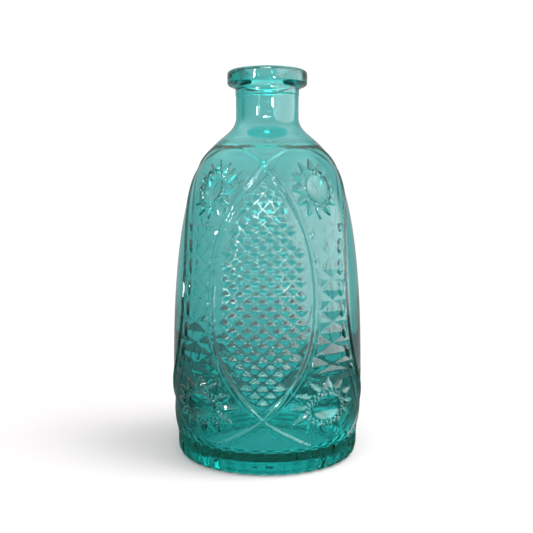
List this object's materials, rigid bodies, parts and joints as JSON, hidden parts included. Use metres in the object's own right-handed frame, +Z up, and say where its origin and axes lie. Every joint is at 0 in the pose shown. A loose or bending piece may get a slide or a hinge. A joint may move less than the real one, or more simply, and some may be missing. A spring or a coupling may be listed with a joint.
{
  "type": "medicine bottle",
  "caption": "Round pressed-glass medicine bottle with a flanged lip, straight neck, bell shoulder and fluted foot, open at the mouth.",
  "frame": {"origin": "where the bottle's axis meets the surface it stands on", "axes": "+Z up along the bottle's axis towards the mouth, -Y out of the middle of the front panel"},
  "size_m": [0.082, 0.082, 0.1654],
  "materials": {
    "teal_glass": "clear tinted soda-lime glass, fire-polished"
  },
  "bodies": {
    "root": {"glass_bottle": "teal_glass"}
  },
  "joints": []
}
